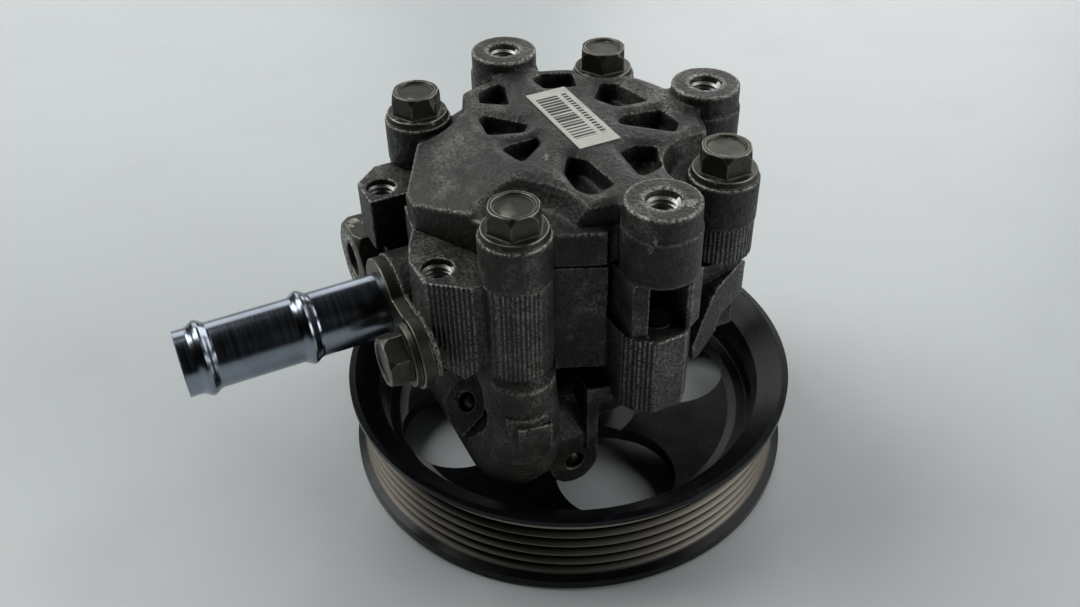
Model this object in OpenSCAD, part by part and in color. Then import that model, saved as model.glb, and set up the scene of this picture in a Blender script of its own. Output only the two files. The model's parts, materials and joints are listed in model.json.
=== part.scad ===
// Belt-driven power steering vane pump, standing on the front rim of its pulley.
// Z is the shaft axis, Z = 0 is the pulley's front rim, and the suction tube points along -X.
// All sizes are in millimetres.

/* [Pulley] */
// Diameter over the pulley's rims
pulley_d = 130; // [128:0.5:136]
// Width of the pulley from rim to rim
pulley_w = 27.5; // [27:0.5:30]
// Number of belt grooves
groove_count = 5; // [4:1:5]
// Pitch of the belt grooves
groove_pitch = 3.56; // [3.3:0.02:3.7]
// Depth of a belt groove
groove_depth = 2.4; // [1.8:0.1:2.8]
// Step from the rims down to the belt face
rim_step = 2.5; // [1.5:0.1:3]
// Width of the front rim
front_rim_w = 4.3; // [3.5:0.1:5]
// Width of the lip at the back rim
back_lip_w = 1.7; // [1.2:0.1:2.2]
// Wall left behind the belt grooves
rim_wall = 3.6; // [3:0.1:4.2]
// Thickness of the web
web_t = 4; // [3:0.1:4.5]
// Height of the web's front face over the front rim
web_z = 6.5; // [6:0.1:7.5]
// Radius of a web window
window_r = 17; // [15:0.5:18]
// Distance of a window's centre from the shaft axis
window_pcr = 35; // [34:0.5:36]
// Number of web windows
window_count = 4; // [3:1:4]
// Angle of the first window
window_turn = -4; // [-45:1:45]
// Radius of the hub
hub_r = 14; // [13:0.25:15]
// Length of the hub along the shaft
hub_len = 15.5; // [14:0.5:17]

/* [Shaft and bearing] */
// Diameter of the shaft in the pulley's hub
hub_seat_d = 16; // [15:0.5:16.5]
// Diameter of the threaded shaft end
nut_thread_d = 14; // [12:1:14]
// Height of the pulley nut
nut_h = 6.5; // [6:0.25:7]
// Width of the pulley nut across its flats
nut_af = 21; // [20:0.5:22]
// Thickness of the washer under the nut
washer_t = 1.6; // [1.2:0.1:2]
// Height of the nut's free face over the front rim
nut_z = 1; // [0.6:0.1:1.4]
// Diameter of the shaft collar between hub and bearing
collar_d = 21; // [20:0.5:22]
// Height of the shaft collar
collar_h = 3; // [2.6:0.1:3.4]
// Bore of the ball bearing
bearing_bore = 17; // [16.6:0.1:17.4]
// Outside diameter of the ball bearing
bearing_od = 40; // [38:0.5:41]
// Width of the ball bearing
bearing_w = 12; // [11:0.25:13]
// Diameter of a bearing ball
ball_d = 6.4; // [5.8:0.1:6.6]
// Number of bearing balls
ball_count = 8; // [7:1:8]
// Thickness of the bearing circlip
circlip_t = 1.5; // [1.2:0.1:1.8]
// Diameter of the shaft in the seal and the bush
journal_d = 16; // [15.4:0.1:16.4]
// Outside diameter of the shaft seal
seal_od = 30; // [28:0.5:31]
// Width of the shaft seal
seal_w = 7; // [6:0.25:7.5]
// Outside diameter of the shaft bush
bush_od = 20; // [19:0.25:21]
// Length of the shaft bush
bush_len = 11.5; // [10:0.25:12]

/* [Pump group] */
// Diameter of the pump chamber
chamber_d = 58; // [57.5:0.1:58.5]
// Thickness of the front pressure plate
front_plate_t = 6; // [5.5:0.1:6.5]
// Width of the cam ring and the rotor
cam_ring_w = 16; // [15:0.25:17]
// Thickness of the rear pressure plate
rear_plate_t = 5; // [4.5:0.1:5.5]
// Diameter of the rotor
rotor_d = 40; // [39:0.25:41]
// Lift of the cam ring's oval bore
cam_lift = 2.5; // [1.5:0.1:2.7]
// Number of vanes
vane_count = 10; // [8:1:10]
// Thickness of a vane
vane_t = 1.4; // [1.2:0.1:1.6]
// Radial height of a vane
vane_h = 8; // [7:0.1:8.5]
// Number of shaft splines
spline_count = 12; // [10:1:14]
// Diameter over the shaft splines
spline_d = 14.4; // [14:0.1:14.8]
// Diameter of a dowel pin
dowel_d = 4; // [3.5:0.1:4.2]
// Distance of a dowel pin from the shaft axis
dowel_pcr = 25.2; // [24.8:0.1:25.6]

/* [Housing] */
// Height of the joint between housing and cover
joint_z = 88; // [87:0.25:90]
// Diameter of the housing round the pump chamber
body_d = 73; // [72:0.5:75]
// Height where the round body ends below
body_z = 57.5; // [56:0.25:58.5]
// Diameter of the housing's nose round the bearing
nose_d = 52; // [50:0.5:54]
// Half the distance between the cover bolts along X
bolt_x = 28.4; // [28:0.1:29]
// Half the distance between the cover bolts along Y
bolt_y = 31.2; // [30.8:0.1:32]
// Shift of the cover bolts towards the suction side
bolt_shift = 0.9; // [0.5:0.1:1.2]
// Diameter of the column round a cover bolt
column_d = 17.4; // [17:0.1:18.4]
// Height where the bolt columns end below
column_z = 61.5; // [60:0.25:63]
// Thread diameter of the cover bolts and the mounting holes
thread_d = 8; // [7.6:0.1:8.2]
// Distance of a side mounting hole from the shaft axis along X
side_x = 44.9; // [44:0.1:45.5]
// Distance of a side mounting hole from the shaft axis along Y
side_y = 20.3; // [19.8:0.1:21]
// Wall from a side hole's axis to the side post's outer face
side_wall = 5.2; // [5:0.1:5.6]
// Depth of a side mounting hole
side_depth = 14; // [12:0.5:14.5]
// Height where the side posts end below
post_z = 52; // [50:0.5:54]
// Height of the mounting lug's top, under the window
lug_z = 72.4; // [71:0.2:73]
// Height of the mounting lug
lug_h = 23; // [21:0.5:24]
// Width of the window over the mounting lug
lug_window_w = 9.6; // [9:0.1:10]
// Radius of a flute in the fluted walls
flute_r = 0.42; // [0.35:0.01:0.48]
// Pitch of the flutes
flute_pitch = 1.15; // [1.05:0.05:1.5]

/* [Cover] */
// Height of the cover bolts' seats over the joint
seat_h = 12; // [11:0.25:12.5]
// Height of the cover's plateau over the joint
plateau_h = 16; // [15:0.25:16.5]
// Height of the mounting bosses over the joint
boss_h = 19; // [18:0.25:20]
// Diameter of a mounting boss
boss_d = 18.4; // [17.5:0.1:19.5]
// Distance of the side boss from the shaft axis
boss_side_x = 41.6; // [41:0.1:43]
// Half the distance between the boss pair
boss_y = 43.8; // [43:0.1:44.5]
// Distance of the boss pair from the shaft axis along X
boss_x = 2.2; // [1.5:0.1:3]
// Diameter of the cover's wall below the plateau
cover_d = 76; // [75:0.25:77]
// Diameter of the plateau's edge
plateau_d = 71.6; // [70:0.2:72.4]
// Height of the cover's round wall over the joint
wall_h = 9.5; // [8.5:0.25:10]
// Depth of the pockets in the plateau
pocket_depth = 8; // [6:0.25:8.5]
// Radius of the relief round a bolt head
relief_r = 12.6; // [12.2:0.1:12.8]
// Length of the suction ramp from the shaft axis
ramp_x = 45.4; // [44:0.1:46]
// Slope of the suction ramp
ramp_slope = 21; // [17:0.5:22]
// Distance where the ramp's slope starts
ramp_start = 21; // [20:0.25:22]
// Length of the label
label_l = 31.5; // [28:0.5:32]
// Width of the label
label_w = 11.6; // [10:0.2:11.8]

/* [Suction] */
// Diameter of the suction tube
tube_d = 17; // [16:0.1:17.4]
// Wall of the suction tube
tube_wall = 1.2; // [1:0.1:1.6]
// Length of the suction tube outside its flange
tube_len = 52.2; // [48:0.1:56]
// Height of a bead over the tube
bead_h = 1.25; // [0.8:0.05:1.5]
// Distance of the outer bead from the tube's end
bead_end = 5.6; // [5:0.1:6.5]
// Distance between the two beads
bead_gap = 25.8; // [22:0.1:28]
// Height of the suction tube's axis
suction_z = 66; // [65:0.25:67]
// Distance of the flange's seat from the shaft axis
suction_seat = 51; // [50.6:0.1:52]
// Thickness of the suction flange
flange_t = 3.2; // [3:0.1:4]
// Radius of the flange round the tube
flange_r = 12.4; // [12:0.1:13]
// Radius of the flange round its bolt
flange_bolt_r = 9.2; // [8.9:0.1:9.8]
// Distance of the flange bolt from the tube's axis
flange_reach = 22.2; // [22:0.1:23]

/* [Outlet and flow valve] */
// Distance of the outlet union's axis from the shaft axis
outlet_y = 31; // [30.5:0.1:31.5]
// Height of the outlet union's axis
outlet_z = 60; // [59.5:0.1:60.5]
// Width of the outlet union across its flats
outlet_af = 21; // [20:0.25:22]
// Length of the outlet union's hexagon
outlet_hex_l = 6.4; // [6:0.2:8]
// Diameter of the outlet union's inner thread
outlet_thread_d = 10; // [9:0.25:11]
// Distance of the valve's axis from the shaft axis
valve_x = 32; // [31.5:0.1:32.5]
// Height of the valve's axis
valve_z = 35.4; // [35:0.1:36]
// Diameter of the flow valve's spool
spool_d = 16; // [15:0.1:16.2]
// Length of the spool
spool_len = 26; // [22:0.5:27]
// Travel of the spool
spool_travel = 9; // [6:0.5:10]
// Wall of the valve barrel
barrel_wall = 4.3; // [4:0.1:4.6]
// Wire diameter of the valve spring
spring_wire = 1.4; // [1.1:0.1:1.6]
// Turns of the valve spring
spring_turns = 8; // [6:1:9]
// Width of the valve plug across its flats
valve_plug_af = 19; // [18:0.25:20]

/* [Fasteners] */
// Width of a flange bolt across its flats
bolt_af = 12; // [11.5:0.1:12.6]
// Diameter of a flange bolt's flange
bolt_flange_d = 17; // [16.4:0.1:17.2]
// Height of a flange bolt's head
bolt_head_h = 7.6; // [7:0.1:8]
// Length of a cover bolt under its head
cover_bolt_l = 34; // [30:0.5:34.5]

/* [Hidden] */
$fn = 48;

// Fits
press_clear = 0.02;
running_clear = 0.04;
thread_clear = 0.05;
slip_clear = 0.15;
ball_clear = 0.15;
side_clear = 0.1;
cut = 1;
tower_r = 5.8;

// Colours
cast_grey = [0.36, 0.37, 0.36];
plated = [0.47, 0.46, 0.42];
bright = [0.66, 0.70, 0.76];
black_coat = [0.04, 0.04, 0.05];
steel = [0.60, 0.60, 0.62];
rubber = [0.08, 0.08, 0.08];
bronze = [0.62, 0.45, 0.25];

// Heights stacked from the nut's free face upwards
shaft_end_z = nut_z - 0.4;
washer_z = nut_z + nut_h;
hub_z = washer_z + washer_t;
collar_z = hub_z + hub_len;
bearing_z = collar_z + collar_h;
bearing_top = bearing_z + bearing_w;
nose_z = bearing_z - circlip_t - 1.5;
seal_z = bearing_top + 1;
seal_top = seal_z + seal_w;
floor_z = joint_z - front_plate_t - cam_ring_w - rear_plate_t;
ring_z = floor_z + front_plate_t;
rear_plate_z = ring_z + cam_ring_w;
snap_t = 1.2;
shaft_top = rear_plate_z + 9;

// Radii
pulley_r = pulley_d / 2;
belt_r = pulley_r - rim_step;
rim_in_r = belt_r - groove_depth - rim_wall;
journal_r = journal_d / 2;
bearing_r = bearing_od / 2;
inner_race_r = bearing_bore / 2;
ball_r = ball_d / 2;
pitch_r = (bearing_r + inner_race_r) / 2;
race_groove_r = ball_r + ball_clear;
race_gap = 2.3;
body_r = body_d / 2;
nose_r = nose_d / 2;
chamber_r = chamber_d / 2;
plate_r = chamber_r - slip_clear;
rotor_r = rotor_d / 2;
cam_min_r = rotor_r + 0.75;
spline_r = spline_d / 2;
spline_root_r = spline_r - 1;
spline_w = 1.6;
pilot_r = spline_root_r - 0.6;
column_r = column_d / 2;
thread_r = thread_d / 2;
boss_r = boss_d / 2;
tube_r = tube_d / 2;
spool_r = spool_d / 2;
valve_bore_r = spool_r + running_clear;
barrel_r = valve_bore_r + barrel_wall;

// Cover heights
seat_z = joint_z + seat_h;
plateau_z = joint_z + plateau_h;
boss_z = joint_z + boss_h;
label_t = 0.2;
label_c = [3.8, 4.7];

// Joint seal
o_ring_depth = 2.2;
o_ring_gap = 2;
o_ring_r = o_ring_depth / 2 - running_clear;
o_ring_mid_r = chamber_r + o_ring_gap + o_ring_depth / 2 + 0.3;

// Mounting bosses, and the lug under the last one
boss_points = [[boss_x, boss_y], [boss_side_x, 0], [boss_x, -boss_y]];
lug_c = [boss_x, -boss_y];
lug_face = [[-10.6, 8], [-10.6, -2.4], [-8.8, -6.2], [-4.9, -8.8], [3.4, -8.8], [7.4, -4.4], [8.2, 8]];

// Suction side along -X
flange_front = suction_seat + flange_t;
tube_end = flange_front + tube_len;
tube_seat = suction_seat - 8;
suction_depth = 16;
suction_ring_r = 1;
pad_t = 1.4;
flange_bolt_l = 18;
flange_bolt_z = suction_z + 0.1;

// Outlet side along -X
outlet_r = 12;
outlet_seal_t = 1;
outlet_seat = 45.6;
outlet_stem_r = 7.9;
outlet_stem_l = 9.5;
ear_z = outlet_z + outlet_af / 2 / cos(30) + 0.8;

// Flow valve along Y: closed dome at -Y, plug at +Y
valve_mouth = body_r - 0.5;
valve_stem_r = spool_r + 1;
valve_stem_l = 8;
valve_seal_t = 1.2;
spool_top = valve_mouth - valve_stem_l - side_clear;
spool_low = spool_top - spool_len;
valve_end = -bolt_y - 0.3;
spring_pocket_r = spool_r - 2.2;
spring_pocket_l = spool_len * 7 / 13;
spring_r = spring_pocket_r - spring_wire / 2 - 0.4;
spring_low = valve_end + 0.1;
spring_top = spool_low + spring_pocket_l - 0.1;

// Passage plugs: [point on the seat, yaw, tilt from straight up]
plug_r = 2.6;
plug_boss_r = 6.6;
// Gap on each side of the joint where the flat panels meet
joint_groove = 0.2;
plug_depth = 2 * plug_r + 0.8;
lobe_y = -38.4;
lobe_w = 18;
plug_seats = [[[-41.6, -23.8, 45.8], 206, 54], [[-17.4, lobe_y - 0.2, 26], -90, 87]];
spot_r = 9.2;
// Lozenge that stands proud round the first plug, and its height
plug_pad = [[-8.8, -1.2], [-9, 3], [-3, 5.7], [1, 6.2], [8.9, 2.8], [7.6, -2.5], [2.9, -7.1], [-4, -5.2]];
pad_lip = 1.1;

// Corners of the pockets in the plateau
pockets = [[[-13.6, 25], [-11, 31.6], [-4.6, 33.2], [-3.4, 31], [-7, 20.2]],
    [[14, 21.4], [16.6, 29.2], [8.6, 33.2], [5, 31.6], [5.6, 24]],
    [[18, 6], [27.4, 5], [24.4, 17.6], [20.6, 20.2], [15, 13]],
    [[15.4, 0.4], [17.8, 1.4], [27.6, -0.7], [28.2, -9], [24.5, -12.6], [14.2, -2.4]],
    [[7.2, -14.9], [12, -13.6], [17, -16.8], [14.6, -21.2], [13.2, -25.6], [6, -27.4]],
    [[-5.2, -10.4], [-1.8, -14.4], [-1, -27.4], [-8, -29.2], [-10.6, -25.8], [-9.6, -17]],
    [[-18.4, -0.2], [-16.4, 1.2], [-7.6, 1.4], [-8.2, -1.8], [-16.4, -8.2]],
    [[-17.2, 17.6], [-15.2, 18.4], [-7, 8.6], [-9.6, 5.2], [-18.6, 8]]];
// Reliefs round the bolt heads: [side in X, side in Y, radius at the floor, radius at the top]
reliefs = [[-1, -1, relief_r + 1.8, relief_r + 5.6], [1, -1, relief_r + 0.4, relief_r + 3],
    [-1, 1, relief_r, relief_r + 1], [1, 1, relief_r - 3, relief_r - 2.6]];

// Common shapes
module rod_x(x0, x1, y, z, r) {
    translate([x0, y, z]) rotate([0, 90, 0]) cylinder(h = x1 - x0, r = r);
}

module rod_y(y0, y1, x, z, r) {
    translate([x, y0, z]) rotate([-90, 0, 0]) cylinder(h = y1 - y0, r = r);
}

module ring(r_in, r_out, z0, z1) {
    translate([0, 0, z0]) difference() {
        cylinder(h = z1 - z0, r = r_out);
        translate([0, 0, -cut]) cylinder(h = z1 - z0 + 2 * cut, r = r_in);
    }
}

module torus(r_mid, r_section) {
    rotate_extrude() translate([r_mid, 0]) circle(r = r_section);
}

module hex(af, h) {
    cylinder(h = h, d = af / cos(30), $fn = 6);
}

module at_bolts() {
    for (x = [-bolt_x, bolt_x], y = [-bolt_y, bolt_y]) translate([x - bolt_shift, y, 0]) children();
}

// Turns X outwards from the shaft at each cover bolt
module at_bolts_turned() {
    for (x = [-bolt_x, bolt_x], y = [-bolt_y, bolt_y]) translate([x - bolt_shift, y, 0])
        rotate(atan2(y, x - bolt_shift)) children();
}

module at_bosses() {
    for (p = boss_points) translate([p[0], p[1], 0]) children();
}

module at_sides() {
    for (y = [-side_y, side_y]) translate([-side_x, y, 0]) children();
}

module at_plug(p) {
    translate(p[0]) rotate([0, p[2], p[1]]) children();
}

// Flange bolt standing on Z = 0, head up, with a dished hexagon
module flange_bolt(shank_l) {
    flange_t = 1.7;
    dish_depth = 0.6;
    translate([0, 0, -shank_l]) cylinder(h = shank_l + flange_t / 2, r = thread_r);
    cylinder(h = flange_t, d1 = bolt_flange_d, d2 = bolt_flange_d - 1);
    difference() {
        intersection() {
            translate([0, 0, flange_t / 2]) hex(bolt_af, bolt_head_h - flange_t / 2);
            cylinder(h = bolt_head_h, r1 = bolt_af / 2 + 3, r2 = bolt_af / 2 + 0.1);
        }
        translate([0, 0, bolt_head_h - dish_depth]) cylinder(h = cut, d = bolt_af - 2);
    }
}

// Pulley, shaft and bearing
groove_z = front_rim_w;
belt_top = pulley_w - back_lip_w - rim_step * 0.3;
groove_points = [for (i = [0:groove_count - 1], k = [0:2])
    [belt_r - (k == 1 ? groove_depth : 0), groove_z + (i + k * 0.5 + 0.02 * (1 - k)) * groove_pitch]];
flare_z = pulley_w - 5;
web_top = web_z + web_t;
web_rise = 3.5;
bead_r = rim_in_r - 5;
// Angle where the pulley's revolve starts and ends
seam_turn = 67.5;
pulley_section = concat(
    [[pulley_r - 1, 0], [pulley_r, 1], [pulley_r, front_rim_w - rim_step * 0.3]],
    groove_points,
    [[belt_r, belt_top], [pulley_r, pulley_w - back_lip_w], [pulley_r, pulley_w],
     [pulley_r - back_lip_w, pulley_w], [rim_in_r, flare_z], [rim_in_r - 0.6, web_top + 4],
     [rim_in_r - 2, web_top + 1.6], [bead_r, web_top + 1.2], [bead_r - 2.5, web_top],
     [hub_r + 8, web_top], [hub_r + 1.5, web_top + web_rise], [hub_r, web_top + web_rise + 1.5],
     [hub_r, collar_z], [hub_seat_d / 2 + press_clear, collar_z], [hub_seat_d / 2 + press_clear, hub_z],
     [hub_r - 1, hub_z], [hub_r + 3, web_z + 1.4], [hub_r + 9, web_z], [rim_in_r - 3, web_z],
     [rim_in_r + 1, web_z - 4], [rim_in_r + 1.6, 0]]);

module pulley() {
    color(black_coat) difference() {
        rotate(seam_turn) rotate_extrude() polygon(pulley_section);
        for (i = [0:window_count - 1]) rotate(window_turn + i * 360 / window_count)
            translate([window_pcr, 0, -cut]) cylinder(h = pulley_w, r = window_r);
    }
}

module pulley_nut() {
    color(plated) difference() {
        translate([0, 0, nut_z]) intersection() {
            hex(nut_af, nut_h);
            cylinder(h = nut_h, r1 = nut_af / 2 + 0.1, r2 = nut_af / 2 + 4);
        }
        translate([0, 0, nut_z - cut]) cylinder(h = nut_h + 2 * cut, d = nut_thread_d + 2 * thread_clear);
    }
}

module pulley_washer() {
    color(plated) ring(nut_thread_d / 2 + slip_clear, nut_af / 2 + 1, washer_z, hub_z);
}

module spline_outline(grow) {
    circle(r = spline_root_r + grow);
    for (i = [0:spline_count - 1]) rotate(i * 360 / spline_count)
        translate([0, -spline_w / 2 - grow]) square([spline_r + grow, spline_w + 2 * grow]);
}

module drive_shaft() {
    thread_top = hub_z + 0.5;
    color(steel) difference() {
        union() {
            rotate_extrude() polygon([[0, shaft_end_z], [nut_thread_d / 2 - 0.8, shaft_end_z],
                [nut_thread_d / 2, shaft_end_z + 0.8], [nut_thread_d / 2, thread_top],
                [hub_seat_d / 2, thread_top], [hub_seat_d / 2, collar_z], [collar_d / 2, collar_z],
                [collar_d / 2, bearing_z], [inner_race_r, bearing_z], [inner_race_r, bearing_top],
                [journal_r, bearing_top + 0.5], [journal_r, ring_z - 1], [spline_root_r, ring_z - 0.5],
                [spline_root_r, rear_plate_z + 2], [pilot_r, rear_plate_z + 2.5],
                [pilot_r, shaft_top - 1], [pilot_r - 1, shaft_top], [0, shaft_top]]);
            translate([0, 0, ring_z - 0.5]) linear_extrude(cam_ring_w + 2) spline_outline(0);
        }
        ring(spline_root_r - 0.4, spline_r + cut, rear_plate_z + 0.1, rear_plate_z + 0.1 + snap_t);
        translate([0, 0, shaft_end_z - cut]) cylinder(h = 2.5 + cut, r1 = 3.2 + cut, r2 = 0.7);
    }
}

module race_groove() {
    translate([0, 0, bearing_z + bearing_w / 2]) torus(pitch_r, race_groove_r);
}

module bearing_outer_race() {
    color(steel) difference() {
        ring(pitch_r + race_gap, bearing_r, bearing_z, bearing_top);
        race_groove();
    }
}

module bearing_inner_race() {
    color(steel) difference() {
        ring(inner_race_r + press_clear, pitch_r - race_gap, bearing_z, bearing_top);
        race_groove();
    }
}

module ball_places() {
    for (i = [0:ball_count - 1]) rotate(i * 360 / ball_count)
        translate([pitch_r, 0, bearing_z + bearing_w / 2]) children();
}

module bearing_balls() {
    color(steel) ball_places() sphere(r = ball_r);
}

module bearing_cage() {
    cage_h = ball_d + 2.4;
    color(bronze) difference() {
        ring(pitch_r - 1, pitch_r + 1, bearing_z + bearing_w / 2 - cage_h / 2,
            bearing_z + bearing_w / 2 + cage_h / 2);
        ball_places() sphere(r = ball_r + 0.1);
    }
}

module bearing_circlip() {
    gap_w = 9;
    color(steel) difference() {
        ring(bearing_r - 2.2, bearing_r + 0.8, bearing_z - circlip_t + 0.02, bearing_z - 0.02);
        translate([bearing_r, 0, bearing_z]) cube([12, gap_w, 4 * circlip_t], center = true);
    }
}

module shaft_seal() {
    lip_r = journal_r + running_clear;
    shell_r = seal_od / 2;
    color(rubber) rotate_extrude() polygon([[lip_r, seal_z + 2], [lip_r + 1.5, seal_z + 0.5],
        [shell_r - 2.5, seal_z + 2], [shell_r - 1.8, seal_z], [shell_r, seal_z], [shell_r, seal_top],
        [lip_r + 2, seal_top], [lip_r + 2, seal_top - 2], [lip_r + 0.8, seal_z + 4], [lip_r, seal_z + 3]]);
}

module shaft_bush() {
    color(bronze) ring(journal_r + running_clear, bush_od / 2, floor_z - 0.5 - bush_len, floor_z - 0.5);
}

// Pump group
function cam_r(a) = cam_min_r + cam_lift / 2 * (1 - cos(2 * a));

module dowels(r, z0, z1) {
    for (x = [-dowel_pcr, dowel_pcr]) translate([x, 0, z0]) cylinder(h = z1 - z0, r = r);
}

module plate_ports(z0, t) {
    for (a = [45, 135, 225, 315]) rotate(a) translate([rotor_r - 1, 0, z0 - cut])
        cylinder(h = t + 2 * cut, r = 2);
}

module front_plate() {
    color(steel) difference() {
        ring(journal_r + slip_clear, plate_r, floor_z, ring_z);
        dowels(dowel_d / 2 + running_clear, floor_z - cut, ring_z + cut);
        plate_ports(floor_z, front_plate_t);
    }
}

module cam_ring() {
    color(steel) difference() {
        translate([0, 0, ring_z]) linear_extrude(cam_ring_w) difference() {
            circle(r = plate_r);
            polygon([for (a = [0:5:355]) cam_r(a) * [cos(a), sin(a)]]);
        }
        dowels(dowel_d / 2 + running_clear, ring_z - cut, rear_plate_z + cut);
    }
}

module rear_plate() {
    color(steel) difference() {
        ring(spline_r + 1.6, plate_r, rear_plate_z, joint_z);
        dowels(dowel_d / 2 + running_clear, rear_plate_z - cut, joint_z + cut);
        plate_ports(rear_plate_z, rear_plate_t);
    }
}

module vane_places() {
    for (i = [0:vane_count - 1]) rotate((i + 0.5) * 360 / vane_count) children();
}

module rotor() {
    vane_low = rotor_r + 0.3 - vane_h;
    rotor_w = cam_ring_w - 2 * side_clear;
    color(steel) translate([0, 0, ring_z + side_clear]) linear_extrude(rotor_w) difference() {
        circle(r = rotor_r);
        spline_outline(0.08);
        vane_places() translate([vane_low - 0.5, -vane_t / 2 - 0.05]) square([vane_h + 2, vane_t + 0.1]);
    }
}

module vanes() {
    vane_low = rotor_r + 0.3 - vane_h;
    color(bright) vane_places() translate([vane_low, -vane_t / 2, ring_z + side_clear])
        cube([vane_h, vane_t, cam_ring_w - 2 * side_clear]);
}

module rotor_snap_ring() {
    color(steel) difference() {
        ring(spline_root_r - 0.35, spline_r + 0.9, rear_plate_z + 0.15, rear_plate_z + 0.05 + snap_t);
        translate([spline_r, 0, rear_plate_z]) cube([6, 5, 4 * snap_t], center = true);
    }
}

module dowel_pins() {
    color(steel) dowels(dowel_d / 2, floor_z + 0.2, joint_z + 3.5);
}

module cover_o_ring() {
    color(rubber) translate([0, 0, joint_z - o_ring_depth / 2]) torus(o_ring_mid_r, o_ring_r);
}

// Front housing
module flange_outline(grow) {
    waist = 8;
    lean = atan2(flange_bolt_z - suction_z, flange_reach);
    circle(r = flange_r + grow);
    rotate(lean) translate([-flange_reach / cos(lean), 0]) circle(r = flange_bolt_r + grow);
    rotate(lean) translate([-flange_reach, -waist - grow]) square([flange_reach, 2 * (waist + grow)]);
}

// Lays an outline drawn in (Y, -Z about the tube) flat against the suction seat, x0 to x1
module against_seat(x0, x1) {
    translate([x0, 0, suction_z]) rotate([0, 90, 0]) rotate(90) mirror([0, 1])
        linear_extrude(x1 - x0) children();
}

module side_post_outline() {
    out = side_x + side_wall;
    polygon([[-out, side_y - 6], [-out, side_y + 4.5], [-out + 7, bolt_y], [-bolt_x - bolt_shift, bolt_y],
        [-bolt_x - bolt_shift, side_y - 6]]);
}

// Row of half-round flutes from point a to point b
module flute_row(a, b) {
    count = floor(norm(b - a) / flute_pitch);
    for (i = [0:count]) translate(a + (b - a) * i / count) circle(r = flute_r, $fn = 16);
}

// Round column with flutes from angle a0 to a1
module fluted_circle(r, a0, a1) {
    step = flute_pitch / r * 180 / PI;
    difference() {
        circle(r = r);
        for (a = [a0:step:a1]) rotate(a) translate([r + 0.1, 0]) circle(r = flute_r, $fn = 16);
    }
}

// Post of the near side hole, with a fluted wall whose lower edge rises towards the bolt column
module ledge_post() {
    out = side_x + side_wall;
    first = [-out, -side_y - 4.5];
    corner = [-out + 8.9, -bolt_y - 0.5];
    wall_angle = atan2(corner[1] - first[1], corner[0] - first[0]);
    difference() {
        translate([0, 0, post_z]) linear_extrude(joint_z - post_z) difference() {
            polygon([[-out, -side_y + 6], first, corner, [-bolt_x, corner[1]], [-bolt_x, -side_y + 6]]);
            flute_row(first + [0.9, -0.7], corner + [-0.4, 0.3]);
        }
        translate([first[0], first[1], 0]) rotate([90, 0, wall_angle]) translate([0, 0, -9])
            linear_extrude(14)
                polygon([[-3, post_z - 4], [11.3, column_z + 0.6], [20, column_z + 0.6], [20, post_z - 4]]);
    }
}

module fluted_columns() {
    band_h = 10;
    translate([-bolt_x - bolt_shift, -bolt_y, column_z]) linear_extrude(joint_z - column_z)
        fluted_circle(column_r, 205, 284);
    translate([bolt_x - bolt_shift, -bolt_y, joint_z - band_h]) linear_extrude(band_h)
        fluted_circle(column_r, 195, 325);
    translate([bolt_x - bolt_shift, -bolt_y, column_z]) cylinder(h = joint_z - column_z - cut, r = tower_r);
}

// Web that ties each bolt column to the round body, wherever the body's wall lies
module column_webs() {
    web_w = column_r - 1.2;
    inset = 4;
    reach = column_r + 2 * inset;
    at_bolts_turned() translate([-reach, -web_w / 2, column_z + inset])
        cube([reach, web_w, joint_z - column_z - 2 * inset]);
}

module lug() {
    wall = 4;
    translate([lug_c[0], lug_c[1], lug_z]) linear_extrude(joint_z - lug_z)
        polygon([[-boss_r, 8], [-boss_r, -4], [-boss_r + wall, -6],
            [boss_r - wall, -7.2], [boss_r, -5], [boss_r, 8]]);
    translate([lug_c[0], lug_c[1], lug_z - lug_h]) linear_extrude(lug_h) difference() {
        polygon(lug_face);
        flute_row(lug_face[1], lug_face[2]);
        flute_row(lug_face[2], lug_face[3]);
    }
}

// Flat panel of the housing and the cover between a bolt column and the lug
module panel(z0, z1) {
    panel_w = 15;
    panel_r = 38.4;
    rotate(-113.5) translate([20, -panel_w / 2, z0]) cube([panel_r - 20, panel_w, z1 - z0]);
}

module housing_round() {
    rotate_extrude() polygon([[0, nose_z], [nose_r - 1.5, nose_z], [nose_r, nose_z + 1.5],
        [nose_r, body_z - (body_r - nose_r)], [body_r, body_z], [body_r, joint_z], [0, joint_z]]);
}

module valve_barrel() {
    translate([-valve_x, valve_end, valve_z]) rotate([-90, 0, 0]) rotate_extrude() intersection() {
        union() {
            square([barrel_r, valve_mouth - valve_end]);
            circle(r = barrel_r);
        }
        translate([0, -2 * barrel_r]) square([2 * barrel_r, valve_mouth - valve_end + 2 * barrel_r]);
    }
}

module valve_web() {
    translate([-valve_x - barrel_r + 3, valve_end + 6, valve_z])
        cube([barrel_r + 8, valve_mouth - valve_end - 14, body_z - valve_z + 2]);
}

module bulge() {
    hull($fn = 32) {
        translate([-valve_x, valve_end, valve_z]) sphere(r = barrel_r - 0.3);
        translate([-bolt_x - bolt_shift, -bolt_y, column_z]) cylinder(h = 2, r = column_r - 0.6);
        translate([-valve_x - 2.5, -bolt_y + 9, post_z]) cylinder(h = 2, r = 5);
    }
}

module plug_bosses() {
    for (p = plug_seats) at_plug(p) translate([0, 0, -14]) cylinder(h = 14, r = plug_boss_r + 0.7);
    translate([-valve_x + 3, 0, 0]) rotate([90, 0, 90]) linear_extrude(lobe_w)
        polygon([[lobe_y, valve_z - 10], [lobe_y, valve_z - 1], [-bolt_y, valve_z + 11],
            [-24, valve_z + 15], [-20, valve_z - 10]]);
}

// Raised square on the dome's front
module dome_pad() {
    translate([-valve_x + 0.6, valve_end - 10.8, valve_z + 9]) rotate([86, 0, -9]) translate([-4.6, -5, -3])
        cube([9.2, 11, 3.1]);
}

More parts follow.
